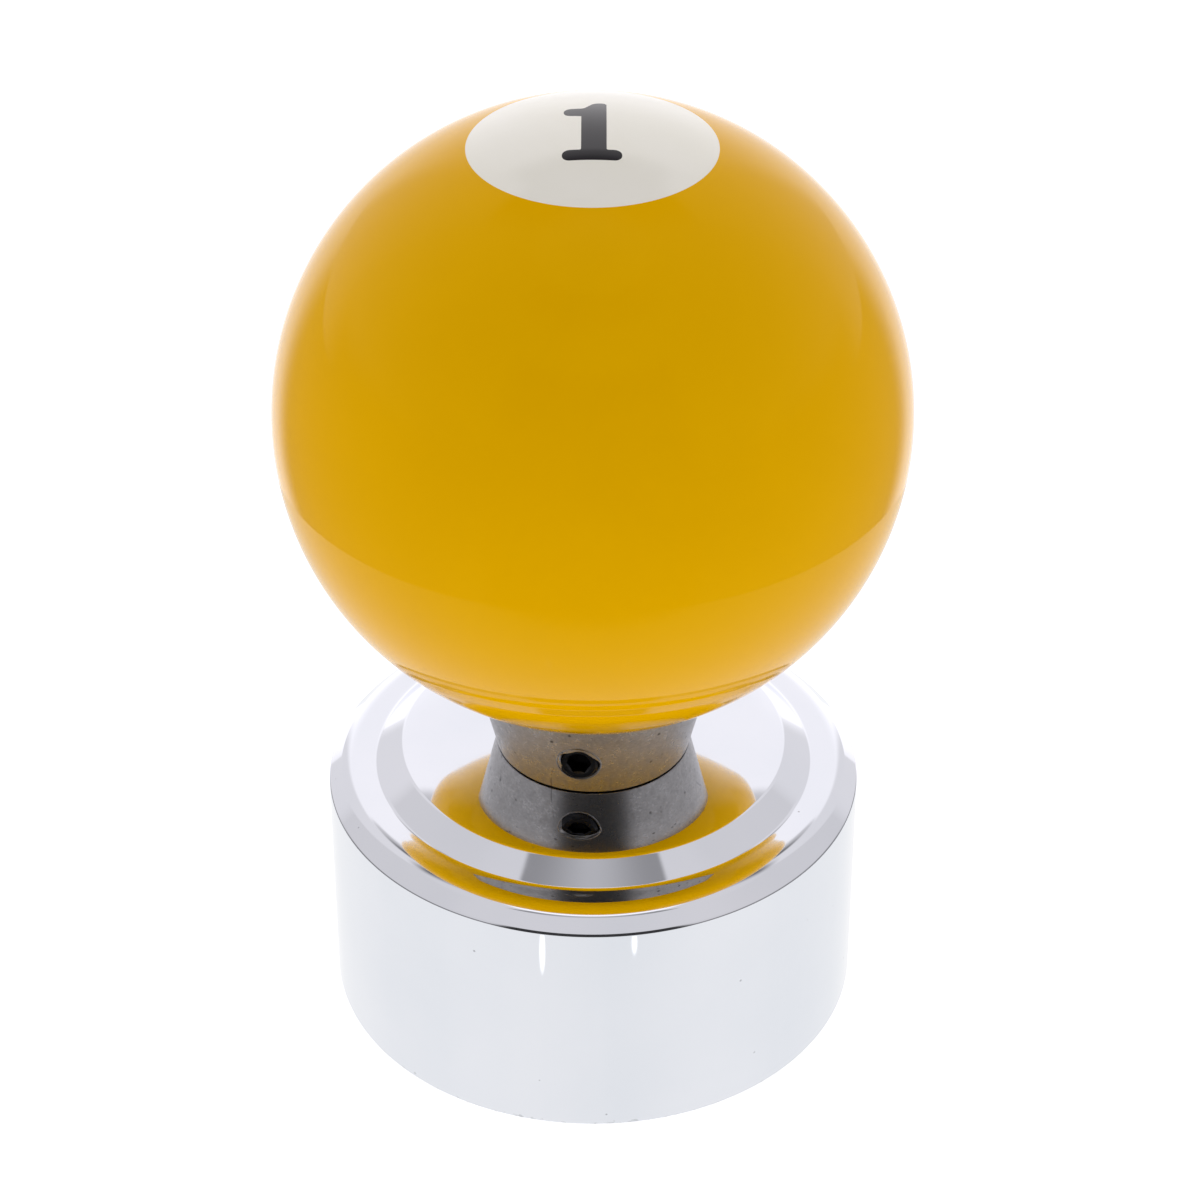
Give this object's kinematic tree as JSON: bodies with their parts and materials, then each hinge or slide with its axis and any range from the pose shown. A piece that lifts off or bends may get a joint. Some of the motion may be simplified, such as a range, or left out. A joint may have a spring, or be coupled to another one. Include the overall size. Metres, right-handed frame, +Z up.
{
  "type": "gear-shift knob with numbered ball",
  "caption": "Numbered ball on a flared set-screw collar, threaded on the stud of a polished cylindrical adapter cap.",
  "frame": {"origin": "centre of the adapter cap's bottom rim plane", "axes": "+Z up along the knob's axis, towards the numbered disc; -Y is the front, the side that the numeral reads upright from"},
  "size_m": [0.0572, 0.0572, 0.0911],
  "materials": {
    "ball_resin": "polished cast resin, amber yellow",
    "disc_resin": "polished cast resin, ivory white",
    "numeral_resin": "polished cast resin, black",
    "collar_metal": "fine turned, satin",
    "black_oxide": "black oxide",
    "tip_brass": "turned",
    "plated_steel": "bright zinc plate",
    "spring_steel": "plain spring steel",
    "polished_cap": "mirror polished, bright turned wall"
  },
  "bodies": {
    "adapter": {"adapter_cap": "polished_cap", "threaded_stud": "plated_steel", "flat_washer": "plated_steel", "lock_washer": "spring_steel", "jam_nut": "plated_steel"},
    "knob_lead": {"lower_number_ring": "disc_resin"},
    "knob": {"ball_body": "ball_resin", "number_disc": "disc_resin", "numeral_one": "numeral_resin", "ball_insert": "collar_metal"},
    "lock_screw_lead": {"set_screw_tip": "tip_brass"},
    "lock_screw": {"set_screw": "black_oxide"}
  },
  "joints": [
    {"name": "knob_rise", "type": "slide", "parent": "adapter", "child": "knob_lead", "axis": [0, 0, 1], "range_m": [-0.00011, 0.01369]},
    {"name": "knob_turn", "type": "hinge", "parent": "knob_lead", "child": "knob", "pos_m": [0, 0, 0.0625], "axis": [0, 0, 1], "range_deg": [-20, 2520]},
    {"name": "lock_screw_out", "type": "slide", "parent": "knob", "child": "lock_screw_lead", "axis": [-0.1323, -0.9912, 0], "range_m": [0, 0.0021]},
    {"name": "lock_screw_turn", "type": "hinge", "parent": "lock_screw_lead", "child": "lock_screw", "pos_m": [-0.00112, -0.00843, 0.0309], "axis": [-0.1323, -0.9912, 0], "range_deg": [0, 1081]}
  ],
  "couplings": [
    {"joint": "knob_rise", "follows": "knob_turn", "m_per_rad": 0.00031096},
    {"joint": "lock_screw_turn", "follows": "lock_screw_out", "rad_per_m": 8976}
  ]
}
